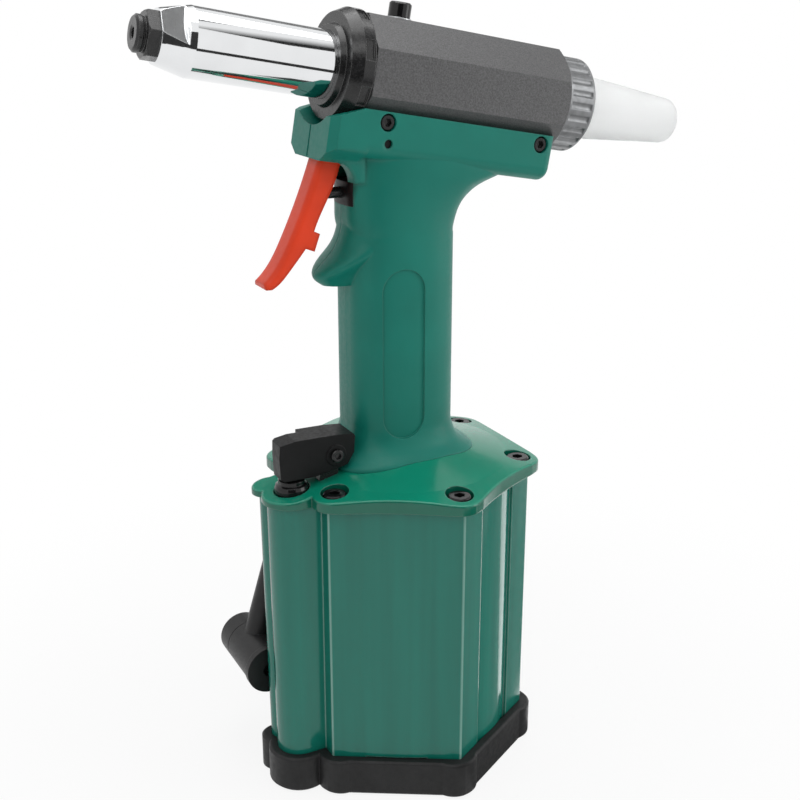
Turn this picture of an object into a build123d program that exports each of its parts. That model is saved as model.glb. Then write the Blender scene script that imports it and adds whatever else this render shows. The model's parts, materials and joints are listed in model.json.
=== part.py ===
from build123d import *
import os
from math import copysign, cos, hypot, pi, radians, sin

os.makedirs("parts", exist_ok=True)

# All sizes are millimetres. +X points to the nose, +Y to the left side, +Z up.
# The origin is the middle of the foot, on the axis of the air cylinder.

# Fits
running = 0.06
seat = 0.05
air_gap = 0.3

# Air cylinder column
screw_circle = 45.0
face_distance = 42.9
corner_round = 1.2
wall_radius = 43.2
panel_half = 11.8
panel_cut = 4.0
column_bottom = 3.0
column_length = 116.2
cylinder_bore = 37.0
cylinder_end = 9.0
lobe_x = 50.6
lobe_y = 10.0
lobe_foot = 8.6
lobe_radius = 9.3
pillar_x = 53.8
pillar_y = 0.45
pillar_foot = 4.4
pillar_radius = 5.55
sleeve_radius = 5.0
sleeve_length = 38.0

# Rubber boot
boot_height = 15.0
boot_face = 46.4
boot_corner_circle = 44.0
boot_corner_radius = 9.2
boot_lobe = 12.1

# Cover
crown_rise = 10.5
crown_radius = 23.5
shoulder_drop = 4.5
shoulder_radius = 41.0
dome_slope = 0.175
rim_round = 0.8
corner_pad = 8.2
lobe_pad = 11.2
pillar_pad = 5.8
pillar_pad_shift = 2.4
scallop_radius = 160.0
scallop_reach = 46.0
cover_floor = 1.2
counterbore = 5.2
button_well = 6.7

# Cover screws
screw_head = 4.4
screw_head_height = 3.7
screw_shank = 2.4
screw_length = 14.0
screw_socket = 2.1
socket_depth = 2.2

# Barrel axis: tilted nose-up, crossing the column axis above the cover
barrel_tilt = 9.9
grip_length = 136.9

# Barrel head, measured along the tilted axis
barrel_flats = 37.8
barrel_front = 20.0
barrel_rear = -60.0
draw_bore = 14.5
draw_bore_front = 12.0

# Nose housing, collar and nosepiece
tube_radius = 11.5
tube_bore = 9.6
tube_rear = 12.0
cone_start = 79.0
cone_end = 89.6
cone_end_radius = 8.8
wrench_flat = 8.0
nose_thread = 5.6
nose_thread_length = 7.0
collar_radius = 20.0
collar_band = 24.6
collar_front = 28.6
collar_front_radius = 18.0
collar_lip = 30.6
collar_notches = 8
notch_width = 7.0
notch_length = 3.4
notch_depth = 0.9
hex_flats = 14.4
hex_front = 93.6
nose_front = 96.8
nose_disc = 6.0
nose_tail = 3.4
mandrel_bore = 1.75

# Rear cap and collector bottle
cap_radius = 17.3
cap_rear = -73.0
cap_flutes = 24
flute_radius = 1.7
flute_depth = 0.6
cap_plug_front = -48.0
cap_wall = 2.0
bottle_socket = 12.3
bottle_neck_front = -63.0
bottle_end = -120.8
bottle_wall = 1.3
bottle_tip_radius = 8.7
bottle_tip_round = 3.0

# Oil filler
filler_along = 4.7
filler_radius = 3.95
filler_height = 5.2
filler_washer = 4.5
filler_washer_thick = 0.6
filler_shank = 2.5
filler_shank_depth = 3.4
filler_socket = 1.75

# Draw train
draw_head_front = 10.0
draw_head_rear = -6.0
draw_seal_low = 0.0
draw_seal_top = 3.4
draw_seal_depth = 2.2
pull_rod = 7.6
pull_rod_front = 52.0
rod_hollow = 3.7
rod_hollow_rear = 20.0
case_rear = 49.0
case_front = 79.0
case_mouth = 3.9
case_taper_rear = 63.0
case_room = 7.2
jaw_rear = 66.0
jaw_short = 1.0
jaw_bore = 1.3
jaw_gap = 0.35
jaw_slit = 0.5
pusher_thick = 4.0
pusher_bore = 2.0
jaw_travel = 1.5
spring_wall = 1.2
tube_outer = 3.0
tube_inner = 2.3
tube_tail = -70.0

# Ram and air piston
ram_radius = 7.1
ram_seat = 4.0
ram_entry = 14.8
oil_tube_outer = 11.0
rod_seal = 9.0
rod_seal_height = 4.0
piston_rise = 5.0
piston_thick = 15.0
piston_seal_rise = 5.5
piston_seal_height = 4.0
piston_seal_depth = 3.0

# Grip, with heights as rises over the crown or drops below the barrel axis
grip_half = 16.5
grip_front = 23.6
grip_back = -17.9
grip_power = 2.8
flare_rise = 12.9
guard_drop = 71.4
guard_power = 2.2
guard_lean = 0.45
neck_drop = 54.6
neck_top_drop = 23.6
head_half = 17.8
head_top = -12.0
head_low = -28.5
head_rear = -57.5
head_round = 5.0
head_rear_round = 3.2
lip_front = 32.2
lip_low = -31.5
lip_rear = 18.0
lip_width = 10.3
lip_top = -16.5
lip_slope_rear = 21.0
arch_x = 24.4
arch_drop = 26.0
arch_radius = 8.0
arch_half = 12.0
seam_groove = 0.5
pill_x = 7.2
pill_rise = 39.8
pill_width = 16.2
pill_height = 64.0
pill_depth = 0.7

# Barrel screws in the grip sides: position along the axis and below it
side_screws = (11.8, -51.2)
side_screw_drop = -15.6
side_head = 2.75
side_head_depth = 2.6
side_head_sink = 0.5
side_shank = 1.5
side_screw_tip = 6.5
side_socket = 1.45

# Trigger, its pin, the valve block behind it and the valve's pin
trigger_x = 14.3
trigger_drop = 20.5
trigger_half = 5.3
trigger_eye = 3.2
trigger_pin = 1.5
trigger_slot = 6.0
trigger_edge = 1.8
block_drop = 42.7
block_height = 8.5
block_half = 8.0
block_rear = 14.0
valve_pin_radius = 2.0
valve_pin_rear = 17.5
valve_pin_reach = 16.0
valve_pin_tip = 1.0

# Lever and its lug
lever_x = 34.9
lever_rise = 12.1
lever_drop = 7.0
lever_near = 15.3
lever_far = 3.1
lever_front_far = 6.4
lug_half = 3.0
lever_pin = 1.5
lever_boss = 3.1

# Valve button
button_radius = 6.3
button_sink = 1.0
button_flange = 3.4
button_step = 4.9
button_crown = 2.6
button_stem = 3.0
button_stem_length = 35.0

# Air inlet
inlet_x = 56.0
inlet_z = 41.0
inlet_radius = 9.2
inlet_near = -4.4
inlet_ring = 3.0
swivel_near = -28.8
swivel_far = -39.5
swivel_spigot = 6.5
swivel_spigot_length = 6.0
swivel_passage = 4.0
inlet_thread = 5.72
inlet_thread_depth = 10.0
arm_y = -22.5
arm_foot = 6.0
arm_top = 3.2
arm_top_x = 39.8
arm_top_z = 104.0

# Heights that follow from the sizes above
column_top = column_bottom + column_length
cylinder_floor = column_bottom + cylinder_end
sleeve_bottom = column_top - sleeve_length
crown_height = column_top + crown_rise
counterbore_seat = column_top + cover_floor
axis_height = crown_height + grip_length
flare_top = crown_height + flare_rise
guard_bottom = axis_height - guard_drop
neck_bottom = axis_height - neck_drop
arch_z = axis_height - arch_drop
pill_z = crown_height + pill_rise
trigger_z = axis_height - trigger_drop
block_low = axis_height - block_drop
block_top = block_low + block_height
valve_z = block_low + block_height / 2
shoulder_height = crown_height - shoulder_drop
lobe_top = shoulder_height - dome_slope * (hypot(lobe_x, lobe_y) - shoulder_radius)
lever_z = lobe_top + lever_rise
lever_low = lever_z - lever_drop
button_low = lobe_top - button_sink
button_top = button_low + button_flange
piston_bottom = cylinder_floor + piston_rise
piston_seal_low = piston_bottom + piston_seal_rise
ram_low = piston_bottom + ram_seat
ram_top = column_top + ram_entry

barrel = Plane(
    origin=(0, 0, axis_height),
    x_dir=(0, 1, 0),
    z_dir=(cos(radians(barrel_tilt)), 0, sin(radians(barrel_tilt))),
)
valve_axis = Plane(origin=(0, 0, valve_z), z_dir=(1, 0, 0))
inlet_axis = Plane(origin=(inlet_x, 0, inlet_z), z_dir=(0, 1, 0))
trigger_eye_axis = Pos(trigger_x, 0, trigger_z) * Rot(-90, 0, 0)
lever_eye_axis = Pos(lever_x, 0, lever_z) * Rot(-90, 0, 0)
lever_middle = (lever_near + lever_far) / 2
at_lobe = Pos(lobe_x, lobe_y)
at_pillar = Pos(pillar_x, pillar_y)
at_pillar_pad = Pos(pillar_x + pillar_pad_shift, pillar_y - pillar_pad_shift / 3)


def polar(radius, angle):
    return (radius * cos(radians(angle)), radius * sin(radians(angle)))


def corners(radius):
    return [polar(radius, 30 + 60 * k) for k in range(6)]


def turned(points):
    """Solid of revolution about Z from (radius, height) points."""
    return revolve(Plane.XZ * make_face(Polyline(*points, close=True)), Axis.Z)


def ring(outer, inner, low, high):
    return turned([(inner, low), (outer, low), (outer, high), (inner, high)])


def disc(radius, low, high):
    return Pos(0, 0, low) * extrude(Circle(radius), high - low)


def side_plate(points, y_low, y_high):
    """Plate with an outline drawn in X and Z, between two Y planes."""
    face = Plane.XZ.offset(-y_low) * make_face(Polyline(*points, close=True))
    return extrude(face, -(y_high - y_low))


def save(shape, node):
    export_step(shape, "parts/" + node + ".step")


def hexagon(distance, rounding):
    shape = RegularPolygon(distance, 6, major_radius=False, rotation=30)
    return fillet(shape.vertices(), rounding)


# Web in plan from the middle of the column out to a round boss in front of it
def web(x, y, half):
    return Pos(x / 2, y) * Rectangle(x, 2 * half)


def tapered(bottom, top):
    return loft([Pos(0, 0, column_bottom) * bottom, Pos(0, 0, column_top) * top])


# The valve lobe and the air passage pillar beside it, each on its web, drafted out to the top
def bosses(gap):
    foot = lobe_foot + gap
    top = lobe_radius + gap
    body = tapered(at_lobe * Circle(foot), at_lobe * Circle(top))
    body += tapered(web(lobe_x, lobe_y, foot), web(lobe_x, lobe_y, top))
    foot = pillar_foot + gap
    top = pillar_radius + gap
    body += tapered(at_pillar * Circle(foot), at_pillar * Circle(top))
    return body + tapered(web(pillar_x, pillar_y, foot), web(pillar_x, pillar_y, top))


# The round cylinder wall shows in a recessed panel between the posts of each face
def make_column():
    outline = hexagon(face_distance, corner_round)
    for k in range(6):
        outline -= Rot(0, 0, 60 * k) * Pos(face_distance, 0) * Rectangle(2 * panel_cut, 2 * panel_half)
    outline += Circle(wall_radius)
    column = Pos(0, 0, column_bottom) * extrude(outline, column_length) + bosses(0)
    column -= disc(cylinder_bore, cylinder_floor, column_top)
    for x, y in corners(screw_circle):
        column -= Pos(x, y) * disc(screw_shank + seat, column_top - screw_length, column_top)
    return column - at_lobe * disc(sleeve_radius, sleeve_bottom, column_top)


def make_boot():
    outline = hexagon(boot_face, 2.0)
    for x, y in corners(boot_corner_circle):
        outline += Pos(x, y) * Circle(boot_corner_radius)
    outline += at_lobe * Circle(boot_lobe) + web(lobe_x, lobe_y, lobe_foot)
    outline += at_pillar_pad * Circle(pillar_pad) + web(pillar_x, pillar_y, pillar_pad)
    boot = extrude(outline, boot_height)
    boot = chamfer(boot.edges().group_by(Axis.Z)[0], 1.2)
    boot = chamfer(boot.edges().group_by(Axis.Z)[-1], 0.8)
    pocket = hexagon(face_distance + seat, corner_round + seat) + Circle(wall_radius + seat)
    return boot - Pos(0, 0, column_bottom) * extrude(pocket, boot_height) - bosses(seat)


# Flat crown under the grip, a shoulder, then a shallow slope out past the rim of the cover
def dome():
    reach = lobe_x + 2 * lobe_pad
    rim = shoulder_height - dome_slope * (reach - shoulder_radius)
    return turned(
        [(0, 0), (reach, 0), (reach, rim), (shoulder_radius, shoulder_height), (crown_radius, crown_height),
         (0, crown_height)])


def on_rim(edge):
    middle = edge.center()
    level = abs(edge.tangent_at(0.5).Z) < 0.6
    return level and middle.Z > column_top + seat and hypot(middle.X, middle.Y) > wall_radius


def make_cover():
    outline = hexagon(screw_circle * cos(radians(30)) + corner_pad, corner_pad)
    for k in range(6):
        outline -= Pos(*polar(scallop_reach + scallop_radius, 60 * k)) * Circle(scallop_radius)
    outline += at_lobe * Circle(lobe_pad) + at_pillar_pad * Circle(pillar_pad)
    outline += web(pillar_x, pillar_y, pillar_pad)
    cover = Pos(0, 0, column_top) * extrude(outline, crown_rise) & dome()
    cover = fillet(cover.edges().filter_by(on_rim), rim_round)
    for x, y in corners(screw_circle):
        cover -= Pos(x, y) * disc(counterbore, counterbore_seat, crown_height)
        cover -= Pos(x, y) * disc(screw_shank + air_gap, column_top, crown_height)
    cover -= at_lobe * disc(button_well, counterbore_seat, crown_height)
    cover -= at_lobe * disc(button_stem + air_gap, column_top, crown_height)
    return cover - disc(oil_tube_outer + seat, column_top, crown_height)


def make_cover_screw():
    top = counterbore_seat + screw_head_height
    screw = disc(screw_head, counterbore_seat, top)
    screw = chamfer(screw.edges().group_by(Axis.Z)[-1], 0.5)
    screw += disc(screw_shank, column_top - screw_length + 1, counterbore_seat)
    return screw - Pos(0, 0, top - socket_depth) * extrude(RegularPolygon(screw_socket, 6), socket_depth)


# Grip section: a blunt oval, given as growth over the plain handgrip; lean raises it to the back
def grip_section(height, front, back, side, lean=0.0, power=grip_power):
    middle = (grip_front + front + grip_back - back) / 2
    reach = (grip_front + front - grip_back + back) / 2
    points = []
    for k in range(20):
        turn = 2 * pi * (k + 0.5) / 20
        along = copysign(abs(cos(turn)) ** (2 / power), cos(turn))
        across = copysign(abs(sin(turn)) ** (2 / power), sin(turn))
        x = middle + reach * along
        points.append((x, (grip_half + side) * across, height + lean * (grip_front + front - x)))
    return make_face(Spline(*points, periodic=True))


def grip_loft(bottom, rows):
    """Loft through (rise, front, back, side) rows over a bottom height."""
    return loft([grip_section(bottom + rise, front, back, side) for rise, front, back, side in rows])


# Handgrip from the flared foot, seated on the dome, up to the neck
def lower_grip():
    foot = grip_loft(
        crown_height,
        [(-0.25 * flare_rise, 8.8, 8.4, 6.8), (0, 8.0, 7.6, 6.2), (0.19 * flare_rise, 4.0, 3.8, 3.6),
         (0.44 * flare_rise, 1.5, 1.4, 1.4), (0.7 * flare_rise, 0.35, 0.35, 0.35), (flare_rise, 0, 0, 0)])
    handle = extrude(grip_section(flare_top, 0, 0, 0), neck_bottom - flare_top)
    return foot + handle - dome()


# Finger guard: a beak at the front, flat below, whose ridge climbs back along both sides of the handle
def finger_guard():
    rows = [(-6.0, 0, -11.0), (-2.5, 4.5, -9.0), (0, 8.6, -7.0), (2.0, 11.2, -5.0), (4.2, 11.8, -3.0),
            (7.0, 9.8, -2.2), (10.0, 6.6, -1.8), (13.4, 3.8, -1.5), (17.0, 2.0, -1.2), (22.0, 0.6, -1.2),
            (28.0, -1.5, -1.5)]
    sections = []
    for rise, front, side in rows:
        sections.append(grip_section(guard_bottom + rise, front, -2, side, guard_lean, guard_power))
    below = Pos(0, 0, guard_bottom) * Box(200, 100, 50, align=(Align.CENTER, Align.CENTER, Align.MAX))
    return loft(sections) - below


# Neck that sweeps back under the barrel and widens to the cradle
def neck():
    neck_height = neck_drop - neck_top_drop
    return grip_loft(
        neck_bottom,
        [(0, 0, 0, 0), (0.1 * neck_height, 0.2, 0.15, 0), (0.2 * neck_height, 0.8, 1.1, 0),
         (0.37 * neck_height, 0.9, 4.0, 0),
         (0.49 * neck_height, 1.0, 8.4, 0.15), (0.57 * neck_height, 1.0, 13.6, 0.3),
         (0.63 * neck_height, 1.0, 19.4, 0.45), (0.7 * neck_height, 1.0, 23.4, 0.6),
         (neck_height, 1.0, 25.0, 0.8)])


def octagon(flats):
    return RegularPolygon(flats / 2, 8, major_radius=False, rotation=22.5)


def barrel_solid(length_low, length_high):
    return Pos(0, 0, length_low) * extrude(octagon(barrel_flats), length_high - length_low)


# Cradle under the barrel, drawn across the tilted axis, with the front lip
def head_block():
    cradle = make_face(
        Polyline((-head_half, head_top), (head_half, head_top), (head_half, head_low), (-head_half, head_low),
                 close=True))
    cradle = fillet(cradle.vertices().group_by(Axis.Y)[0], head_round)
    block = Pos(0, 0, head_rear) * extrude(cradle, lip_front - 6 - head_rear)
    rear = block.faces().sort_by(Axis.Z)[0]
    block = fillet(rear.edges().filter_by(lambda e: e.center().Y < head_top - 1), head_rear_round)
    lip_side = head_low + 2
    lip = make_face(
        Polyline((-head_half, head_top), (head_half, head_top), (head_half, lip_side), (lip_width, lip_low),
                 (-lip_width, lip_low), (-head_half, lip_side), close=True))
    lip = Pos(0, 0, lip_rear) * extrude(lip, lip_front - lip_rear)
    front = lip.faces().sort_by(Axis.Z)[-1]
    lip = chamfer(front.edges().filter_by(lambda e: abs(e.center().X) > head_half - 0.1), 2.6)
    slope = make_face(
        Polyline((head_top, lip_slope_rear), (lip_top, lip_front), (lip_top, lip_front + 1),
                 (head_top + 1, lip_front + 1), (head_top + 1, lip_slope_rear), close=True))
    return block + lip - extrude(Plane.YZ * slope, 2 * head_half, both=True)


# Concave arch where the lip runs down into the front of the grip
def arch():
    root = arch_x - arch_radius / 2
    top = arch_z + arch_radius / 2
    gusset = make_face(
        Polyline((arch_x, arch_z - arch_radius), (root, arch_z - arch_radius), (root, top),
                 (arch_x + arch_radius, top), (arch_x + arch_radius, arch_z))
        + RadiusArc((arch_x + arch_radius, arch_z), (arch_x, arch_z - arch_radius), -arch_radius))
    return extrude(Plane.XZ * gusset, arch_half, both=True)


# Room for the trigger's arm and its swing, drawn from the trigger's pivot
def trigger_room():
    floor = block_top - trigger_z
    room = side_plate(
        [(-4.7, -5.7), (4.2, -8.2), (4.2, floor), (25.7, floor), (25.7, -8.1), (21.0, -8.1), (19.7, 3.5),
         (-4.7, 3.5)], -trigger_slot, trigger_slot)
    return Pos(trigger_x, 0, trigger_z) * room


def side_hole(along):
    return barrel * Pos(0, side_screw_drop, along) * Rot(0, 90, 0)


# The grip is one smooth body, hollowed for the pieces inside, then cut at the seam
def make_grip():
    grip = lower_grip() + neck() + finger_guard() + barrel * head_block() + arch()
    trough = barrel_solid(barrel_rear - 2, barrel_front)
    trough += disc(collar_radius + air_gap, barrel_front - 0.5, collar_lip + 30)
    grip -= barrel * trough
    grip -= disc(oil_tube_outer + seat, column_top, axis_height)
    grip -= trigger_room()
    grip -= valve_box(block_half)
    grip -= valve_axis * disc(valve_pin_radius + running, oil_tube_outer, block_rear + 1)
    far = 2 * head_half
    grip -= trigger_eye_axis * disc(trigger_pin + seat, -far, far)
    for along in side_screws:
        grip -= side_hole(along) * disc(side_shank + seat, -far, far)
        for low, high in ((head_half - side_head_depth, far), (-far, side_head_depth - head_half)):
            grip -= side_hole(along) * disc(side_head + air_gap, low, high)
    pill = Plane(origin=(pill_x, 0, pill_z), x_dir=(0, 0, 1), z_dir=(0, 1, 0))
    core = extrude(grip_section(column_top, -pill_depth, -pill_depth, -pill_depth), grip_length)
    grip -= pill * extrude(SlotOverall(pill_height, pill_width), far, both=True) - core
    return grip - barrel * Pos(0, lip_low, lip_front) * Box(2 * seam_groove, 60, 1.6)


def valve_box(half):
    return Pos(block_rear, 0, block_low) * Box(
        30, 2 * half, block_height, align=(Align.MIN, Align.CENTER, Align.MIN))


def make_valve_block():
    block = valve_box(block_half - seat) & neck()
    return block - valve_axis * disc(valve_pin_radius + running, 0, 2 * grip_front)


def make_side_screw():
    seat_height = head_half - side_head_depth
    top = head_half - side_head_sink
    screw = disc(side_head, seat_height, top)
    screw = chamfer(screw.edges().group_by(Axis.Z)[-1], 0.4)
    screw += disc(side_shank, side_screw_tip, seat_height)
    return screw - Pos(0, 0, top - side_socket) * extrude(RegularPolygon(side_socket, 6), side_socket)


# Trigger drawn from its pivot: finger face, hooked tip, stop tab, rear face and arm
def make_trigger():
    front = Spline((20.3, -5.6), (23.7, -14.7), (27.9, -24.6), (32.3, -33.8), (36.5, -41.2), (41.9, -47.2))
    tip = Polyline((41.9, -47.2), (41.5, -49.1), (39.3, -49.2))
    hook = Spline((39.3, -49.2), (36.1, -47.1), (32.3, -43.1), (29.1, -39.4), (26.2, -35.9))
    tab = Polyline((26.2, -35.9), (22.9, -37.2), (20.7, -31.1), (22.9, -30.1))
    rear = Spline((22.9, -30.1), (18.6, -21.1), (15.5, -15.2), (12.8, -7.9))
    arm = Polyline(
        (12.8, -7.9), (0, -trigger_eye), (0, trigger_eye), (16.3, 1.5), (18.3, -0.5), (20.3, -5.6))
    outline = make_face(front + tip + hook + tab + rear + arm)
    trigger = extrude(Plane.XZ.offset(-trigger_half) * outline, 2 * trigger_half)
    trigger = fillet(trigger.edges().filter_by(lambda e: e.length > 40), trigger_edge)
    trigger = Pos(trigger_x, 0, trigger_z) * trigger
    trigger += trigger_eye_axis * disc(trigger_eye, -trigger_half, trigger_half)
    return trigger - trigger_eye_axis * disc(trigger_pin + running, -2 * trigger_half, 2 * trigger_half)


# Lever drawn from its pivot: a fork over the lug behind, a narrower thumb end in front
def make_lever():
    fork = [(-7.75, 6.1), (-7.15, 7.1), (0.3, 7.7), (15.7, 7.9), (21.7, 6.9), (22.1, 2.0), (21.7, -6.0),
            (20.3, -lever_drop), (8.3, -lever_drop), (-2.2, -5.0), (-4.6, -4.3), (-7.25, -0.1)]
    lever = Pos(lever_x, 0, lever_z) * side_plate(fork, lever_far, lever_near)
    front = Pos(lever_x + 10.8, lever_far, lever_z) * Box(
        40, 2 * (lever_front_far - lever_far), 60, align=(Align.MIN, Align.CENTER, Align.CENTER))
    lever -= front
    end = lever.faces().sort_by(Axis.X)[-1].edges().filter_by(lambda e: abs(e.center().Y - lever_near) > 2)
    lever = chamfer(end.sort_by(Axis.Y)[0], 2.0)
    slot = Pos(lever_x, lever_middle, lever_low) * Box(
        18.0, 2 * (lug_half + air_gap), 22.4)
    lever -= slot
    lever += lever_eye_axis * disc(lever_boss + 0.8, lever_near, lever_near + 0.6)
    return lever - lever_eye_axis * disc(lever_pin + running, lever_far - 1, lever_near + 2)


def make_lug():
    plate = [(-1.0, -20), (5.6, -20), (5.6, -10), (3.0, 2.2), (1.6, 3.2), (-1.2, 3.2), (-2.6, 2.0),
             (-2.6, -2)]
    lug = Pos(lever_x, 0, lever_z) * side_plate(plate, lever_middle - lug_half, lever_middle + lug_half)
    lug -= dome()
    return lug - lever_eye_axis * disc(lever_pin, lever_far, lever_near)


def make_lever_pin():
    pin = disc(lever_pin, lever_far - 0.4, lever_near + 0.9)
    head = disc(lever_boss - 0.6, lever_near + 0.9, lever_near + 2.0)
    head = chamfer(head.edges().group_by(Axis.Z)[-1], 0.4)
    head -= Pos(0, 0, lever_near + 1.1) * extrude(RegularPolygon(1.25, 6), 2)
    return lever_eye_axis * (pin + head)


def make_button():
    top = lever_low - air_gap
    return turned(
        [(0, button_low - button_stem_length), (button_stem, button_low - button_stem_length),
         (button_stem, button_low), (button_radius, button_low), (button_radius, button_top - 1.6),
         (button_radius - 0.5, button_top - 0.5), (button_step, button_top), (button_step, top - 1.0),
         (button_crown, top), (0, top)])


def make_barrel():
    body = barrel_solid(barrel_rear, barrel_front)
    body -= disc(draw_bore, barrel_rear, draw_bore_front)
    body -= disc(tube_radius + seat, draw_bore_front - 1, barrel_front)
    filler = Pos(0, barrel_flats / 2, filler_along) * Rot(90, 0, 0)
    body -= filler * disc(filler_shank + seat, -1, filler_shank_depth + 0.6)
    for along in side_screws:
        for turn in (90, -90):
            hole = Pos(0, side_screw_drop, along) * Rot(0, turn, 0)
            body -= hole * disc(side_shank + seat, side_screw_tip - 0.5, barrel_flats / 2)
    return body


def make_nose_housing():
    bore_end = case_front + 0.8
    body = turned(
        [(tube_bore, tube_rear), (tube_radius, tube_rear), (tube_radius, cone_start),
         (cone_end_radius + 0.4, cone_end - 1.2), (cone_end_radius, cone_end), (nose_thread, cone_end),
         (nose_thread, bore_end), (tube_bore, bore_end)])
    for turn in (38, 218):
        body -= Rot(0, 0, turn) * Pos(wrench_flat, 0, bore_end + 1.4) * Box(
            8, 40, 12, align=(Align.MIN, Align.CENTER, Align.MIN))
    return body


def make_collar():
    inner = tube_radius + seat
    body = turned(
        [(inner, barrel_front), (collar_radius - 0.6, barrel_front), (collar_radius, barrel_front + 0.6),
         (collar_radius, collar_band), (collar_front_radius, collar_front), (inner + 2.7, collar_front),
         (inner + 1.9, collar_lip), (inner, collar_lip)])
    notch = Pos(collar_radius - notch_depth, 0, barrel_front + 2.6) * Box(
        4, notch_width, notch_length, align=(Align.MIN, Align.CENTER, Align.CENTER))
    for k in range(collar_notches):
        body -= Rot(0, 0, 360 / collar_notches * k + 20) * notch
    return body


def make_nosepiece():
    shoulder = cone_end - nose_thread_length
    across = RegularPolygon(hex_flats / 2, 6, major_radius=False, rotation=12)
    body = Pos(0, 0, cone_end) * extrude(across, hex_front - cone_end)
    corner = hex_flats / 2 + 1.0
    body &= turned(
        [(0, cone_end), (corner, cone_end), (corner, hex_front - 0.7), (corner - 0.8, hex_front),
         (0, hex_front)])
    body += turned(
        [(0, hex_front), (nose_disc - 0.4, hex_front), (nose_disc - 0.4, hex_front + 0.8),
         (nose_disc, hex_front + 1.2), (nose_disc, nose_front - 0.8), (nose_disc - 0.8, nose_front),
         (0, nose_front)])
    body += disc(nose_thread - seat, shoulder, cone_end)
    body += disc(nose_tail, case_front + air_gap, shoulder)
    body -= disc(mandrel_bore, case_front, nose_front)
    mouth = mandrel_bore + 1.0
    return body - turned([(0, nose_front - 1.1), (mouth, nose_front + 0.1), (0, nose_front + 0.1)])


def make_rear_cap():
    passage = tube_outer + running
    plug = draw_bore - seat
    floor = barrel_rear - cap_wall
    body = turned(
        [(passage, cap_plug_front), (plug, cap_plug_front), (plug, barrel_rear),
         (cap_radius - 0.8, barrel_rear), (cap_radius, barrel_rear - 0.8), (cap_radius, cap_rear + 1.2),
         (cap_radius - 1.2, cap_rear), (bottle_socket, cap_rear), (bottle_socket, floor), (passage, floor)])
    flute = Pos(cap_radius + flute_radius - flute_depth, 0, cap_rear + 2.0) * extrude(
        Circle(flute_radius), barrel_rear - cap_rear - 4.0)
    for k in range(cap_flutes):
        body -= Rot(0, 0, 360 / cap_flutes * k) * flute
    return body


# Tapered bottle with a flat end, its rim rounded outside and inside
def make_bottle():
    neck = bottle_socket - running
    floor = bottle_end + bottle_wall
    flat = bottle_tip_radius - bottle_tip_round
    inner_tip = bottle_tip_radius - bottle_wall
    profile = make_face(
        Polyline((neck - bottle_wall, bottle_neck_front), (neck, bottle_neck_front),
                 (neck, cap_rear - air_gap), (bottle_tip_radius, bottle_end + bottle_tip_round))
        + RadiusArc((bottle_tip_radius, bottle_end + bottle_tip_round), (flat, bottle_end), bottle_tip_round)
        + Polyline((flat, bottle_end), (0, bottle_end), (0, floor), (flat, floor),
                   (inner_tip, floor + bottle_wall), (neck - bottle_wall, cap_rear),
                   (neck - bottle_wall, bottle_neck_front)))
    return revolve(Plane.XZ * profile, Axis.Z)


def make_filler_screw():
    top = filler_washer_thick + filler_height
    head = disc(filler_radius, filler_washer_thick, top)
    head = chamfer(head.edges().group_by(Axis.Z)[-1], 0.6)
    head += disc(filler_shank, -filler_shank_depth, filler_washer_thick)
    return head - Pos(0, 0, top - socket_depth) * extrude(RegularPolygon(filler_socket, 6), socket_depth)


def make_draw_piston():
    head = draw_bore - running
    groove = head - draw_seal_depth
    return turned(
        [(tube_outer, draw_head_rear), (head, draw_head_rear), (head, draw_seal_low), (groove, draw_seal_low),
         (groove, draw_seal_top), (head, draw_seal_top), (head, draw_head_front), (pull_rod, draw_head_front),
         (pull_rod, pull_rod_front), (rod_hollow, pull_rod_front), (rod_hollow, rod_hollow_rear),
         (tube_outer, rod_hollow_rear)])


def make_jaw_case():
    outer = tube_bore - running
    return turned(
        [(pull_rod, case_rear), (outer, case_rear), (outer, case_front - 1.6), (outer - 1.5, case_front),
         (case_mouth, case_front), (case_room, case_taper_rear), (case_room, pull_rod_front),
         (pull_rod, pull_rod_front)])


# Three wedge jaws, cut from one cone that matches the taper of the case
def make_jaws():
    slope = (case_room - case_mouth) / (case_front - case_taper_rear)
    front = case_front - jaw_short
    blank = turned(
        [(jaw_bore, jaw_rear), (case_room - slope * (jaw_rear - case_taper_rear) - jaw_gap, jaw_rear),
         (case_mouth + slope * jaw_short - jaw_gap, front), (jaw_bore, front)])
    slit = Pos(0, -jaw_slit / 2, jaw_rear) * Box(
        2 * case_room, jaw_slit, front - jaw_rear, align=(Align.MIN, Align.MIN, Align.MIN))
    for k in range(3):
        blank -= Rot(0, 0, 120 * k) * slit
    return blank


def make_air_piston():
    outer = cylinder_bore - running
    groove = outer - piston_seal_depth
    top = piston_bottom + piston_thick
    seal_top = piston_seal_low + piston_seal_height
    return turned(
        [(0, piston_bottom), (outer - 2, piston_bottom), (outer, piston_bottom + 2), (outer, piston_seal_low),
         (groove, piston_seal_low), (groove, seal_top), (outer, seal_top), (outer, top - 2), (outer - 2, top),
         (outer - 6, top), (outer - 8, top - 5), (ram_radius + 9, top - 5), (ram_radius + 7, top),
         (ram_radius, top), (ram_radius, ram_low), (0, ram_low)])


def make_oil_tube():
    tube = ring(oil_tube_outer, ram_radius + running, column_top, axis_height)
    tube -= disc(rod_seal, column_top, column_top + rod_seal_height)
    return tube - barrel * barrel_solid(barrel_rear, barrel_front)


# Inlet cylinder across the front, on a tapered arm that leans up into the wall of the column
def make_elbow(column):
    body = inlet_axis * disc(inlet_radius, swivel_near + air_gap, inlet_near - inlet_ring)
    run = arm_top_x - inlet_x
    rise = arm_top_z - inlet_z
    arm = Plane(origin=(inlet_x, arm_y, inlet_z), z_dir=(run, 0, rise))
    body += arm * turned([(0, 0), (arm_foot, 0), (arm_top, hypot(run, rise)), (0, hypot(run, rise))])
    body -= inlet_axis * disc(swivel_spigot + running, swivel_near, swivel_near + swivel_spigot_length + 2)
    return body - column


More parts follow.
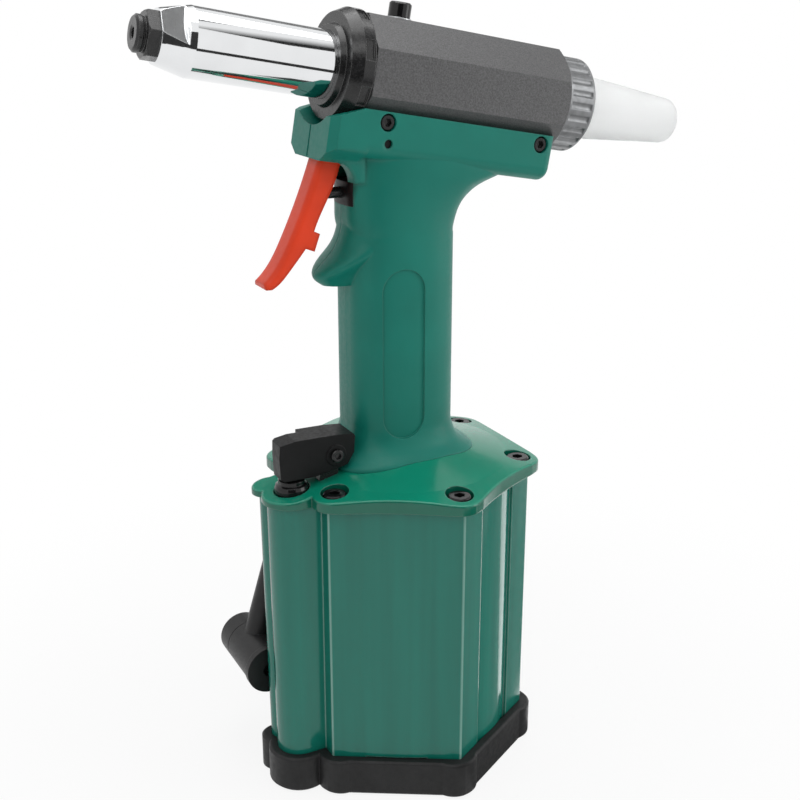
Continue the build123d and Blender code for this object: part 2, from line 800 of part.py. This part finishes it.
def make_swivel():
    spigot_end = swivel_near + swivel_spigot_length
    body = turned(
        [(swivel_passage, spigot_end), (swivel_spigot, spigot_end), (swivel_spigot, swivel_near),
         (inlet_radius, swivel_near), (inlet_radius, swivel_far + 2.2), (inlet_radius - 2.2, swivel_far),
         (swivel_passage, swivel_far)])
    return inlet_axis * (body - disc(inlet_thread, swivel_far, swivel_far + inlet_thread_depth))


# Base
column = make_column()
screw = make_cover_screw()
save(column, "air_cylinder")
save(make_boot(), "rubber_boot")
save(make_cover(), "cylinder_cover")
save(Compound(children=[Pos(x, y) * screw for x, y in corners(screw_circle)]), "cover_screws")

# Grip
left_grip = split(make_grip(), Plane.XZ, keep=Keep.BOTTOM)
save(left_grip, "grip_left")
save(mirror(left_grip, about=Plane.XZ), "grip_right")
save(make_valve_block(), "trigger_valve_block")
side_screw = make_side_screw()
side_set = []
for along in side_screws:
    side_set.append(side_hole(along) * side_screw)
    side_set.append(side_hole(along) * Rot(0, 180, 0) * side_screw)
save(Compound(children=side_set), "barrel_screws")
pin_half = head_half - 1.0
save(trigger_eye_axis * disc(trigger_pin, -pin_half, pin_half), "trigger_pin")
save(make_trigger(), "trigger")
valve_pin = valve_axis * disc(valve_pin_radius, valve_pin_rear, trigger_x + valve_pin_reach)
save(chamfer(valve_pin.edges().sort_by(Axis.X)[-1], valve_pin_tip), "trigger_valve_pin")

# Barrel group, built upright and laid along the tilted axis
save(barrel * make_barrel(), "barrel_head")
save(barrel * make_nose_housing(), "nose_housing")
save(barrel * make_collar(), "lock_collar")
save(barrel * make_nosepiece(), "nosepiece")
save(barrel * make_rear_cap(), "rear_cap")
save(barrel * make_bottle(), "collector_bottle")
filler = barrel * Pos(0, barrel_flats / 2, filler_along) * Rot(-90, 0, 0)
save(filler * make_filler_screw(), "oil_filler_screw")
save(filler * ring(filler_washer, filler_shank, 0, filler_washer_thick), "filler_washer")

# Draw train
draw_head = draw_bore - running
pusher_rear = jaw_rear - pusher_thick
spring_front = pusher_rear - jaw_travel
spring_outer = case_room - 0.6
save(barrel * make_draw_piston(), "draw_piston")
save(barrel * ring(draw_head, draw_head - draw_seal_depth, draw_seal_low, draw_seal_top), "draw_piston_seal")
save(barrel * make_jaw_case(), "jaw_case")
save(barrel * make_jaws(), "jaws")
save(barrel * ring(case_room - 1.0, pusher_bore, pusher_rear, jaw_rear), "jaw_pusher")
save(barrel * ring(spring_outer, spring_outer - spring_wall, pull_rod_front, spring_front), "pusher_spring")
save(barrel * ring(tube_outer, tube_inner, tube_tail, pull_rod_front), "mandrel_tube")

# Ram and air piston
seal_outer = cylinder_bore - running
seal_inner = seal_outer - piston_seal_depth
save(make_oil_tube(), "oil_tube")
save(ring(rod_seal, ram_radius + running, column_top, column_top + rod_seal_height), "rod_seal")
save(disc(ram_radius, ram_low, ram_top), "ram_rod")
save(make_air_piston(), "air_piston")
save(ring(seal_outer, seal_inner, piston_seal_low, piston_seal_low + piston_seal_height), "air_piston_seal")

# Lever valve
save(make_lever(), "lever")
save(make_lug(), "lever_lug")
save(make_lever_pin(), "lever_pin")
save(at_lobe * make_button(), "valve_button")
save(at_lobe * ring(sleeve_radius, button_stem + running, sleeve_bottom, column_top), "valve_sleeve")

# Air inlet
save(make_elbow(column), "inlet_elbow")
save(inlet_axis * ring(inlet_radius + 0.5, 3.0, inlet_near - inlet_ring, inlet_near), "inlet_end_ring")
save(make_swivel(), "inlet_swivel")
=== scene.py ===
import bmesh
import bpy
import json
from math import cos, pi, radians, sin
from mathutils import Matrix, Vector


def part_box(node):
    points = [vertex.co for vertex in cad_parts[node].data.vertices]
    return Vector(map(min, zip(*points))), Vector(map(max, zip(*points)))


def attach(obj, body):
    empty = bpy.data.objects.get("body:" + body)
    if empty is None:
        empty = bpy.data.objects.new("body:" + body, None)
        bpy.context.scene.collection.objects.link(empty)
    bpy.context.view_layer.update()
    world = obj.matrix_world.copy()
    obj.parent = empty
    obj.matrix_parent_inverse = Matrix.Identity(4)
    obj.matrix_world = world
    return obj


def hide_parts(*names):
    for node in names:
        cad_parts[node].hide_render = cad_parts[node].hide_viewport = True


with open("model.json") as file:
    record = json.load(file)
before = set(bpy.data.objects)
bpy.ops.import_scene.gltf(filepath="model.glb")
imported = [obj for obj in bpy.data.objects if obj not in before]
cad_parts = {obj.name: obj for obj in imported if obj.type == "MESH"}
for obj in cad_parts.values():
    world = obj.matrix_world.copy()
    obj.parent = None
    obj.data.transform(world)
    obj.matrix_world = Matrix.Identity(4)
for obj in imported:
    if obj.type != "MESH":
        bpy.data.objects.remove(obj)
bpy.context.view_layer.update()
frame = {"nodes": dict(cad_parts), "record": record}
nodes = frame["nodes"]
scene = bpy.context.scene
scene.view_settings.view_transform = "Standard"

# Camera: turn about the upright axis, pitch, place of the view line and near clip (metres),
# lens and sensor (millimetres)
camera_turn = radians(27.345)
camera_pitch = radians(18.972)
camera_reach = 0.50935
camera_aside = -0.00069
camera_rise = 0.13849
camera_clip = 0.01
camera_lens = 54.0
camera_sensor = 36.0


def make_camera():
    level = cos(camera_pitch)
    back = Vector((sin(camera_turn) * level, cos(camera_turn) * level, sin(camera_pitch)))
    right = Vector((-cos(camera_turn), sin(camera_turn), 0))
    up = back.cross(right)
    data = bpy.data.cameras.new("camera")
    data.lens = camera_lens
    data.sensor_width = camera_sensor
    data.clip_start = camera_clip
    camera = bpy.data.objects.new("camera", data)
    camera.location = back * camera_reach + right * camera_aside + up * camera_rise
    camera.rotation_euler = (pi / 2 - camera_pitch, 0, pi - camera_turn)
    scene.collection.objects.link(camera)
    scene.camera = camera


# Values that the materials share
# Pale green and grey of the painted highlights along edges and corners
highlight_green = (0.55, 0.80, 0.71, 1)
highlight_grey = (0.42, 0.42, 0.42, 1)
bevel_samples = 6
# Noise values at which a tint is darkest and lightest
tint_start, tint_end = 0.3, 0.7
# Upward part of the normal that counts as upright, and as level, for the painted shade on upright
# sides
upright_z, level_z = 0.2, 0.8
# Shares of the reach of a blend, and of the width of a painted highlight line, that have the full
# effect
blend_core = 0.6
highlight_line_core = 0.25
# Directions of the column's upright corners
corner_turns = [radians(30 + 60 * k) for k in range(6)]


def joined(tree, operation, first, second):
    """Result of a math node with two linked values."""
    node = tree.nodes.new("ShaderNodeMath")
    node.operation = operation
    tree.links.new(first, node.inputs[0])
    tree.links.new(second, node.inputs[1])
    return node.outputs[0]


class Surface:
    """One procedural material, with noise in the object's own coordinates (metres)."""

    def __init__(self, name, colour, roughness, metallic=0.0, edge=0.0):
        self.material = bpy.data.materials.new(name)
        self.material.use_nodes = True
        self.tree = self.material.node_tree
        self.shader = self.tree.nodes["Principled BSDF"]
        self.colour = colour
        self.edge = edge
        self.set("Base Color", (*colour, 1))
        self.set("Roughness", roughness)
        self.set("Metallic", metallic)
        self.place = self.tree.nodes.new("ShaderNodeTexCoord").outputs["Object"]
        self.height = None
        if edge:
            self.soft = self.tree.nodes.new("ShaderNodeBevel")
            self.soft.samples = bevel_samples
            self.soft.inputs["Radius"].default_value = edge
            self.height = self.soft.outputs["Normal"]
            self.link(self.height, self.shader.inputs["Normal"])

    def set(self, socket, value):
        self.shader.inputs[socket].default_value = value

    def link(self, source, target):
        self.tree.links.new(source, target)

    def feed(self, value, target):
        """Gives a socket a linked value or a fixed one."""
        if isinstance(value, bpy.types.NodeSocket):
            self.link(value, target)
        else:
            target.default_value = value

    def vector_math(self, operation, first, second):
        node = self.tree.nodes.new("ShaderNodeVectorMath")
        node.operation = operation
        self.link(first, node.inputs[0])
        self.feed(second, node.inputs[1])
        return node

    def true_normal(self):
        return self.tree.nodes.new("ShaderNodeNewGeometry").outputs["Normal"]

    def noise(self, scale, detail=3.0, stretch=(1, 1, 1)):
        mapping = self.tree.nodes.new("ShaderNodeMapping")
        mapping.inputs["Scale"].default_value = stretch
        self.link(self.place, mapping.inputs["Vector"])
        noise = self.tree.nodes.new("ShaderNodeTexNoise")
        noise.inputs["Scale"].default_value = scale
        noise.inputs["Detail"].default_value = detail
        self.link(mapping.outputs["Vector"], noise.inputs["Vector"])
        return noise.outputs["Fac"]

    def spread(self, source, low, high, start=0.35, end=0.65):
        """Maps a value between start and end to numbers between low and high."""
        node = self.tree.nodes.new("ShaderNodeMapRange")
        limits = (("From Min", start), ("From Max", end), ("To Min", low), ("To Max", high))
        for socket, value in limits:
            node.inputs[socket].default_value = value
        self.link(source, node.inputs["Value"])
        return node.outputs["Result"]

    def tint(self, source, dark, light):
        """Colour between two multiples of the base colour, driven by a noise value."""
        ramp = self.tree.nodes.new("ShaderNodeValToRGB")
        first, last = ramp.color_ramp.elements
        first.position = tint_start
        last.position = tint_end
        first.color = (*[c * dark for c in self.colour], 1)
        last.color = (*[min(c * light, 1) for c in self.colour], 1)
        self.link(source, ramp.inputs["Fac"])
        self.link(ramp.outputs["Color"], self.shader.inputs["Base Color"])

    def roughen(self, source, low, high):
        self.link(self.spread(source, low, high), self.shader.inputs["Roughness"])

    def mixed(self, mask, colour, blend="MIX"):
        """Mixes a colour over the base colour by a mask; both are linked or fixed."""
        mix = self.tree.nodes.new("ShaderNodeMix")
        mix.data_type = "RGBA"
        mix.blend_type = blend
        base = self.shader.inputs["Base Color"]
        self.link(base.links[0].from_socket, mix.inputs["A"])
        self.feed(mask, mix.inputs["Factor"])
        self.feed(colour, mix.inputs["B"])
        self.link(mix.outputs["Result"], base)

    def paint_edge_highlight(self, strength, start=0.86, end=0.97, light=highlight_green):
        """Paints a highlight along edges: lightens the colour where the rounded normal leaves the
        true one.
        """
        agree = self.vector_math("DOT_PRODUCT", self.soft.outputs["Normal"], self.true_normal())
        self.mixed(self.spread(agree.outputs["Value"], strength, 0.0, start, end), light)

    def paint_side_shade(self, share):
        """Paints shade on upright surfaces, darkening them to a share of the colour, as if lit
        from above.
        """
        split = self.tree.nodes.new("ShaderNodeSeparateXYZ")
        self.link(self.true_normal(), split.inputs[0])
        shade = self.spread(split.outputs["Z"], share, 1.0, upright_z, level_z)
        self.mixed(1.0, shade, "MULTIPLY")

    def spot(self, point, keep, near, far, start, end):
        """near within start of a point, far from end on, measured along the kept axes."""
        flat = self.vector_math("MULTIPLY", self.place, keep)
        away = self.vector_math("DISTANCE", flat.outputs["Vector"], point)
        return self.spread(away.outputs["Value"], near, far, start, end)

    def most(self, values):
        """Largest of several linked values."""
        largest = values[0]
        for value in values[1:]:
            largest = joined(self.tree, "MAXIMUM", largest, value)
        return largest

    def blend_out(self, spots):
        """Softens moulded blends round points of the side view: (x, z, reach, radius)."""
        widths = [
            self.spot((x, 0, z), (1, 0, 1), radius, self.edge, reach * blend_core, reach)
            for x, z, reach, radius in spots]
        self.link(self.most(widths), self.soft.inputs["Radius"])

    def paint_corner_highlights(self, strength, radius, width):
        """Paints highlight lines down the six upright corners of the column."""
        corners = [(radius * cos(turn), radius * sin(turn), 0) for turn in corner_turns]
        lines = [
            self.spot(corner, (1, 1, 0), strength, 0.0, width * highlight_line_core, width)
            for corner in corners]
        self.mixed(self.most(lines), highlight_green)

    def bump(self, source, depth, strength=1.0):
        """Adds surface relief of about the given depth in metres."""
        node = self.tree.nodes.new("ShaderNodeBump")
        node.inputs["Strength"].default_value = strength
        node.inputs["Distance"].default_value = depth
        self.link(source, node.inputs["Height"])
        if self.height is not None:
            self.link(self.height, node.inputs["Normal"])
        self.height = node.outputs["Normal"]
        self.link(self.height, self.shader.inputs["Normal"])


def green_metal():
    s = Surface("green_metal", (0.004, 0.282, 0.176), roughness=0.16, edge=0.0007)
    s.tint(s.noise(60), dark=0.94, light=1.06)
    # Painted shade: upright sides darker than the top
    s.paint_side_shade(0.52)
    # Painted highlight along the edges
    s.paint_edge_highlight(0.10)
    s.roughen(s.noise(420), low=0.13, high=0.21)
    s.bump(s.noise(700, detail=2), depth=0.00005, strength=0.14)
    return s.material


def green_casting():
    s = Surface("green_casting", (0.006, 0.190, 0.140), roughness=0.18, edge=0.0009)
    s.set("Specular IOR Level", 0.45)
    s.tint(s.noise(30, detail=4, stretch=(6, 6, 0.25)), dark=0.90, light=1.10)
    # Painted highlight lines along the edges
    s.paint_edge_highlight(0.40, start=0.90, end=0.985)
    # Painted highlight lines down the column's six corners
    s.paint_corner_highlights(0.42, radius=0.0493, width=0.0007)
    s.roughen(s.noise(420), low=0.10, high=0.17)
    s.bump(s.noise(220, detail=3, stretch=(4, 4, 0.04)), depth=0.00004, strength=0.30)
    s.bump(s.noise(1500, detail=2), depth=0.00003, strength=0.2)
    return s.material


def green_plastic():
    s = Surface("green_plastic", (0.005, 0.200, 0.152), roughness=0.40, edge=0.0005)
    s.set("Specular IOR Level", 0.30)
    s.blend_out(((0.024, 0.207, 0.016, 0.0014), (0.023, 0.238, 0.014, 0.003)))
    s.tint(s.noise(45), dark=0.93, light=1.07)
    # Painted highlight along the edges
    s.paint_edge_highlight(0.05)
    s.roughen(s.noise(600), low=0.36, high=0.46)
    s.bump(s.noise(2600, detail=2), depth=0.00006, strength=0.4)
    return s.material


def boot_rubber():
    s = Surface("boot_rubber", (0.016, 0.016, 0.0165), roughness=0.48, edge=0.0008)
    s.set("Specular IOR Level", 0.30)
    s.tint(s.noise(80), dark=0.8, light=1.25)
    s.roughen(s.noise(500), low=0.42, high=0.56)
    s.bump(s.noise(1800), depth=0.00010, strength=0.5)
    return s.material


def seal_rubber():
    s = Surface("seal_rubber", (0.015, 0.015, 0.015), roughness=0.6)
    s.tint(s.noise(120), dark=0.85, light=1.2)
    s.bump(s.noise(2500), depth=0.00005, strength=0.4)
    return s.material


def black_steel():
    s = Surface("black_steel", (0.012, 0.012, 0.0125), roughness=0.24, edge=0.0004)
    s.set("Specular IOR Level", 0.45)
    s.tint(s.noise(300), dark=0.7, light=1.4)
    # Painted grey highlight along the edges
    s.paint_edge_highlight(0.25, start=0.90, end=0.985, light=highlight_grey)
    s.roughen(s.noise(900), low=0.18, high=0.32)
    s.bump(s.noise(3000), depth=0.00003, strength=0.4)
    return s.material


def black_gloss():
    s = Surface("black_gloss", (0.008, 0.008, 0.0085), roughness=0.12, edge=0.0005)
    s.set("Specular IOR Level", 0.30)
    s.set("Coat Weight", 0.15)
    s.set("Coat Roughness", 0.05)
    s.tint(s.noise(300), dark=0.8, light=1.3)
    s.roughen(s.noise(900), low=0.09, high=0.16)
    s.bump(s.noise(1200), depth=0.00003, strength=0.2)
    return s.material


def black_metal():
    s = Surface("black_metal", (0.010, 0.010, 0.0105), roughness=0.4, edge=0.0004)
    s.set("Specular IOR Level", 0.32)
    s.tint(s.noise(200), dark=0.8, light=1.3)
    s.roughen(s.noise(1200), low=0.34, high=0.46)
    s.bump(s.noise(2600), depth=0.00004, strength=0.4)
    return s.material


def black_plastic():
    s = Surface("black_plastic", (0.007, 0.007, 0.0075), roughness=0.42, edge=0.0005)
    s.set("Specular IOR Level", 0.20)
    s.tint(s.noise(140), dark=0.85, light=1.2)
    s.roughen(s.noise(700), low=0.36, high=0.48)
    s.bump(s.noise(1500), depth=0.00008, strength=0.45)
    return s.material


def red_plastic():
    s = Surface("red_plastic", (0.90, 0.062, 0.016), roughness=0.36, edge=0.0026)
    s.set("Specular IOR Level", 0.30)
    s.tint(s.noise(70), dark=0.94, light=1.06)
    s.roughen(s.noise(600), low=0.32, high=0.42)
    s.bump(s.noise(2400), depth=0.00004, strength=0.35)
    return s.material


def grey_metal():
    s = Surface("grey_metal", (0.100, 0.100, 0.102), roughness=0.46, metallic=0.2, edge=0.0004)
    grain = s.noise(2200, detail=4)
    s.tint(grain, dark=0.70, light=1.36)
    s.roughen(s.noise(800), low=0.40, high=0.52)
    s.bump(grain, depth=0.00008, strength=0.5)
    return s.material


def chrome():
    s = Surface("chrome", (0.80, 0.81, 0.82), roughness=0.05, metallic=1.0, edge=0.0003)
    s.tint(s.noise(120), dark=0.97, light=1.02)
    s.roughen(s.noise(260), low=0.03, high=0.07)
    s.bump(s.noise(220), depth=0.00002, strength=0.1)
    return s.material


def silver_metal():
    s = Surface("silver_metal", (0.235, 0.24, 0.245), roughness=0.38, metallic=1.0, edge=0.0007)
    s.tint(s.noise(400), dark=0.86, light=1.12)
    s.roughen(s.noise(900), low=0.32, high=0.44)
    s.bump(s.noise(1500), depth=0.00003, strength=0.3)
    return s.material


def milky_plastic():
    s = Surface("milky_plastic", (0.965, 0.97, 0.97), roughness=0.5)
    s.set("Transmission Weight", 0.7)
    s.set("IOR", 1.2)
    s.tint(s.noise(50), dark=0.98, light=1.02)
    s.roughen(s.noise(300), low=0.45, high=0.58)
    s.bump(s.noise(900), depth=0.00004, strength=0.3)
    return s.material


def bare_steel():
    s = Surface("bare_steel", (0.50, 0.51, 0.52), roughness=0.3, metallic=1.0, edge=0.0003)
    s.tint(s.noise(250), dark=0.85, light=1.12)
    s.roughen(s.noise(500), low=0.22, high=0.38)
    s.bump(s.noise(1400), depth=0.00003, strength=0.3)
    return s.material


makers = (
    green_metal, green_casting, green_plastic, boot_rubber, seal_rubber, black_steel,
    black_gloss, black_metal, black_plastic, red_plastic, grey_metal, chrome, silver_metal,
    milky_plastic, bare_steel)

# Nodes with another finish than the one that their slot names
own_finish = {
    "trigger_valve_pin": "black_steel", "trigger_pin": "black_plastic",
    "lever_pin": "black_gloss", "cover_screws": "black_gloss", "barrel_screws": "black_gloss",
    "oil_filler_screw": "black_gloss", "valve_button": "black_gloss"}


def dress_nodes():
    finishes = {make.__name__: make() for make in makers}
    for entry in frame["record"]["subparts"]:
        name = entry["node"]
        materials = nodes[name].data.materials
        materials.clear()
        materials.append(finishes[own_finish.get(name, entry["material_slot"])])
    return finishes


# Forms that the solids lack: each starts from a node's own mesh and stands for that node (metres)
merge_distance = 1e-6
sharp_angle = radians(8)

# Barrel: height and tilt (degrees) of its axis, its rear end along it, the ring that is cut away
barrel_height = 0.2666
barrel_tilt = 9.9
barrel_end = -0.060
ease_radius = 0.0190
ease_length = 0.0030
ease_margin = 0.0005
ring_steps = 96

# Column: direction of its left front face, distances from the axis and half widths of the posts'
# face and of the flat between them, the fill's depth and room at its ends, and how far its rim
# lies under the posts' face
near_face = pi / 3
post_face = 0.0429
post_edge = 0.0130
fill_face = 0.04321
fill_edge = 0.0085
fill_depth = 0.0020
fill_margin = 0.0003
skin = 0.00001


def tool(name, points, faces):
    """Closed shape that a node's mesh is cut by or joined with."""
    mesh = bpy.data.meshes.new(name)
    mesh.from_pydata(points, [], faces)
    work = bmesh.new()
    work.from_mesh(mesh)
    bmesh.ops.recalc_face_normals(work, faces=work.faces)
    work.to_mesh(mesh)
    work.free()
    shape = bpy.data.objects.new(name, mesh)
    scene.collection.objects.link(shape)
    return shape


def reshape(name, node, shape, operation, finish):
    """Makes the piece that stands for a node from its mesh and a tool, which is used up."""
    mesh = nodes[node].data.copy()
    work = bmesh.new()
    work.from_mesh(mesh)
    bmesh.ops.remove_doubles(work, verts=work.verts, dist=merge_distance)
    work.to_mesh(mesh)
    work.free()
    piece = bpy.data.objects.new(name, mesh)
    scene.collection.objects.link(piece)
    change = piece.modifiers.new("form", "BOOLEAN")
    change.object = shape
    change.operation = operation
    change.solver = "EXACT"
    changed = piece.evaluated_get(bpy.context.evaluated_depsgraph_get())
    made = bpy.data.meshes.new_from_object(changed)
    piece.modifiers.clear()
    piece.data = made
    made.materials.clear()
    made.materials.append(finish)
    made.shade_smooth()
    made.set_sharp_from_angle(angle=sharp_angle)
    bpy.data.objects.remove(shape)
    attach(piece, "housing")
    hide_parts(node)


# The eight corners of the barrel are turned off at its rear end
def ease_barrel(finish):
    turned = Matrix.Rotation(radians(90 - barrel_tilt), 4, "Y")
    axis = Matrix.Translation((0, 0, barrel_height)) @ turned
    outer = ease_radius + ease_length
    behind = barrel_end - ease_margin
    profile = (
        (ease_radius - ease_margin, behind), (outer, barrel_end + ease_length), (outer, behind))
    count = len(profile)
    points = []
    faces = []
    for k in range(ring_steps):
        turn = 2 * pi * k / ring_steps
        points += [axis @ Vector((r * cos(turn), r * sin(turn), along)) for r, along in profile]
        here, after = count * k, count * ((k + 1) % ring_steps)
        for j in range(count):
            following = (j + 1) % count
            faces.append((here + j, after + j, after + following, here + following))
    ring = tool("ring", points, faces)
    reshape("barrel_body", "barrel_head", ring, "DIFFERENCE", finish)


# On the left front face the wall runs out flat to the posts on both sides
def ease_column(finish):
    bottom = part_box("rubber_boot")[1].z + fill_margin
    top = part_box("air_cylinder")[1].z - fill_margin
    rim = post_face - skin
    inside = post_face - fill_depth
    section = (
        (rim, -post_edge), (fill_face, -fill_edge), (fill_face, fill_edge),
        (rim, post_edge), (inside, post_edge), (inside, -post_edge))
    count = len(section)
    out = Vector((cos(near_face), sin(near_face), 0))
    along = Vector((-out.y, out.x, 0))
    points = [
        out * r + along * t + Vector((0, 0, level)) for level in (bottom, top) for r, t in section]
    faces = [list(range(count)), list(range(count, 2 * count))]
    for j in range(count):
        after = (j + 1) % count
        faces.append([j, after, count + after, count + j])
    fill = tool("fill", points, faces)
    reshape("cylinder_body", "air_cylinder", fill, "UNION", finish)


# Stage: a white floor and backdrop, boards that show only in reflections, and soft lamps (metres)
floor_half = 4.0
floor_colour = 0.9
fill_strength = 0.30
shade_near = 0.09
shade_far = 0.30
shade_share = 0.12
matt = 0.9
square = ((-1, -1), (1, -1), (1, 1), (-1, 1))

# Bright strip: start, heading, outline as (ahead, aside), and strength
strip_start = Vector((-0.028, 0.033, 0.001))
strip_heading = radians(201)
strip_outline = ((0.025, -0.004), (0.30, -0.05), (0.30, 0.05), (0.025, 0.004))
strip_strength = 2.2

# Sheets: outlines, the height of the lying one, the y of the standing one, and their greys
lying_outline = ((-0.005, 0.05), (-0.06, 0.12), (-0.32, 0.12), (-0.32, 0.005), (-0.03, 0.005))
lying_height = 0.0005
lying_grey = 0.42
standing_outline = ((-0.06, 0), (0.005, 0), (0.005, 0.11), (-0.06, 0.11))
standing_place = 0.078
standing_grey = 0.1

# Cards: name, heading and rise seen from the nose (degrees), reach, size, grey, faded or not
card_target = Vector((0.045, 0, 0.28))
cards = (
    ("low_card", 109, -22, 0.6, (0.6, 0.085), 0.02, False),
    ("view_card", 70, 7, 0.8, (0.78, 0.83), 0.03, False),
    ("high_card", 152, 49, 0.5, (0.45, 0.24), 0.03, True),
    ("flat_card", 147, 64, 0.49, (0.07, 0.07), 0.45, False),
    ("back_card", 236, 28, 1.2, (1.2, 0.42), 0.35, False))
# Where a faded card starts and ends to thin out, as shares of its height from the middle
fade_start, fade_end = -0.28, 0.12

# Lamps: name, place, size and watts
lamp_target = Vector((0, 0, 0.15))
lamps = (
    ("key", (0.55, 0.75, 0.95), (0.7, 0.7), 2.8),
    ("side", (-0.9, 0.6, 0.45), (0.5, 1.0), 3.4),
    ("top", (-0.1, -0.1, 1.2), (0.9, 0.9), 7.0))


def shown_rays(tree):
    """1 for the rays that show the backdrop: camera, mirrored and refracted ones."""
    rays = tree.nodes.new("ShaderNodeLightPath").outputs
    either = joined(tree, "MAXIMUM", rays["Is Glossy Ray"], rays["Is Transmission Ray"])
    return joined(tree, "MAXIMUM", rays["Is Camera Ray"], either)


def mix_shaders(tree, mask, first, second, output):
    """Shows the second shader where the mask is 1, and the first where it is 0."""
    mix = tree.nodes.new("ShaderNodeMixShader")
    tree.links.new(mask, mix.inputs["Fac"])
    tree.links.new(first.outputs[0], mix.inputs[1])
    tree.links.new(second.outputs[0], mix.inputs[2])
    tree.links.new(mix.outputs[0], tree.nodes[output].inputs["Surface"])


def make_world():
    world = bpy.data.worlds.new("studio")
    scene.world = world
    world.use_nodes = True
    tree = world.node_tree
    fill = tree.nodes["Background"]
    shown = tree.nodes.new("ShaderNodeBackground")
    for light, strength in ((fill, fill_strength), (shown, 1.0)):
        light.inputs["Color"].default_value = (1, 1, 1, 1)
        light.inputs["Strength"].default_value = strength
    mix_shaders(tree, shown_rays(tree), fill, shown, "World Output")


def plate(name, corners):
    mesh = bpy.data.meshes.new(name)
    mesh.from_pydata(corners, [], [range(len(corners))])
    board = bpy.data.objects.new(name, mesh)
    scene.collection.objects.link(board)
    material = bpy.data.materials.new(name)
    material.use_nodes = True
    mesh.materials.append(material)
    return board, material.node_tree


def paint_matt(tree, shade):
    shader = tree.nodes["Principled BSDF"]
    shader.inputs["Base Color"].default_value = (shade, shade, shade, 1)
    shader.inputs["Roughness"].default_value = matt
    return shader


# The floor is white to the eye, and takes the object's shadow only near the object
def make_floor():
    corners = [(x * floor_half, y * floor_half, 0) for x, y in square]
    tree = plate("floor", corners)[1]
    shader = paint_matt(tree, floor_colour)
    shader.inputs["Specular IOR Level"].default_value = 0.0
    place = tree.nodes.new("ShaderNodeTexCoord")
    reach = tree.nodes.new("ShaderNodeVectorMath")
    reach.operation = "LENGTH"
    tree.links.new(place.outputs["Object"], reach.inputs[0])
    fade = tree.nodes.new("ShaderNodeMapRange")
    fade.interpolation_type = "SMOOTHSTEP"
    fade.inputs["From Min"].default_value = shade_near
    fade.inputs["From Max"].default_value = shade_far
    fade.inputs["To Min"].default_value = 1 - shade_share
    tree.links.new(reach.outputs["Value"], fade.inputs["Value"])
    share = joined(tree, "MULTIPLY", shown_rays(tree), fade.outputs["Result"])
    glow = tree.nodes.new("ShaderNodeEmission")
    mix_shaders(tree, share, shader, glow, "Material Output")


def mirror_only(board):
    board.visible_camera = False
    board.visible_diffuse = False
    board.visible_shadow = False
    board.visible_transmission = False


# A bright strip on the floor beside the cylinder, which shows in the gloss of its right wall
def make_reflector():
    ahead = Vector((cos(strip_heading), sin(strip_heading), 0))
    side = Vector((-ahead.y, ahead.x, 0))
    corners = [strip_start + ahead * reach + side * half for reach, half in strip_outline]
    board, tree = plate("reflector", corners)
    mirror_only(board)
    glow = tree.nodes.new("ShaderNodeEmission")
    glow.inputs["Strength"].default_value = strip_strength
    tree.links.new(glow.outputs[0], tree.nodes["Material Output"].inputs["Surface"])


# A grey sheet lying to the right of the cylinder and a dark one standing by it, both mirrored in
# its posts and lobe
def make_sheets():
    lying = [(x, y, lying_height) for x, y in lying_outline]
    standing = [(x, standing_place, z) for x, z in standing_outline]
    for name, corners, shade in (
            ("lying_sheet", lying, lying_grey), ("standing_sheet", standing, standing_grey)):
        board, tree = plate(name, corners)
        mirror_only(board)
        paint_matt(tree, shade)


# A card that shows only in reflections, turned to face the nose; a faded one thins out upwards
def make_card(name, heading, rise, reach, size, shade, faded):
    turn, lift = radians(heading), radians(rise)
    aim = Vector((cos(turn) * cos(lift), sin(turn) * cos(lift), sin(lift)))
    side = Vector((-sin(turn), cos(turn), 0))
    tall = aim.cross(side)
    width, height = size
    middle = card_target + aim * reach
    corners = [
        middle + side * across * width / 2 + tall * up * height / 2 for across, up in square]
    board, tree = plate(name, corners)
    mirror_only(board)
    shader = paint_matt(tree, shade)
    if faded:
        place = tree.nodes.new("ShaderNodeTexCoord")
        along = tree.nodes.new("ShaderNodeVectorMath")
        along.operation = "DOT_PRODUCT"
        along.inputs[1].default_value = tall
        tree.links.new(place.outputs["Object"], along.inputs[0])
        fade = tree.nodes.new("ShaderNodeMapRange")
        fade.inputs["From Min"].default_value = middle.dot(tall) + height * fade_start
        fade.inputs["From Max"].default_value = middle.dot(tall) + height * fade_end
        tree.links.new(along.outputs["Value"], fade.inputs["Value"])
        clear = tree.nodes.new("ShaderNodeBsdfTransparent")
        mix_shaders(tree, fade.outputs["Result"], shader, clear, "Material Output")


def make_lamp(name, place, size, watts):
    data = bpy.data.lights.new(name, "AREA")
    data.shape = "RECTANGLE"
    data.size, data.size_y = size
    data.energy = watts
    lamp = bpy.data.objects.new(name, data)
    lamp.location = place
    aim = lamp_target - Vector(place)
    lamp.rotation_euler = aim.to_track_quat("-Z", "Y").to_euler()
    lamp.visible_camera = False
    scene.collection.objects.link(lamp)


make_camera()
finishes = dress_nodes()
ease_barrel(finishes["grey_metal"])
ease_column(finishes["green_casting"])
make_world()
make_floor()
make_reflector()
make_sheets()
for card in cards:
    make_card(*card)
for lamp in lamps:
    make_lamp(*lamp)
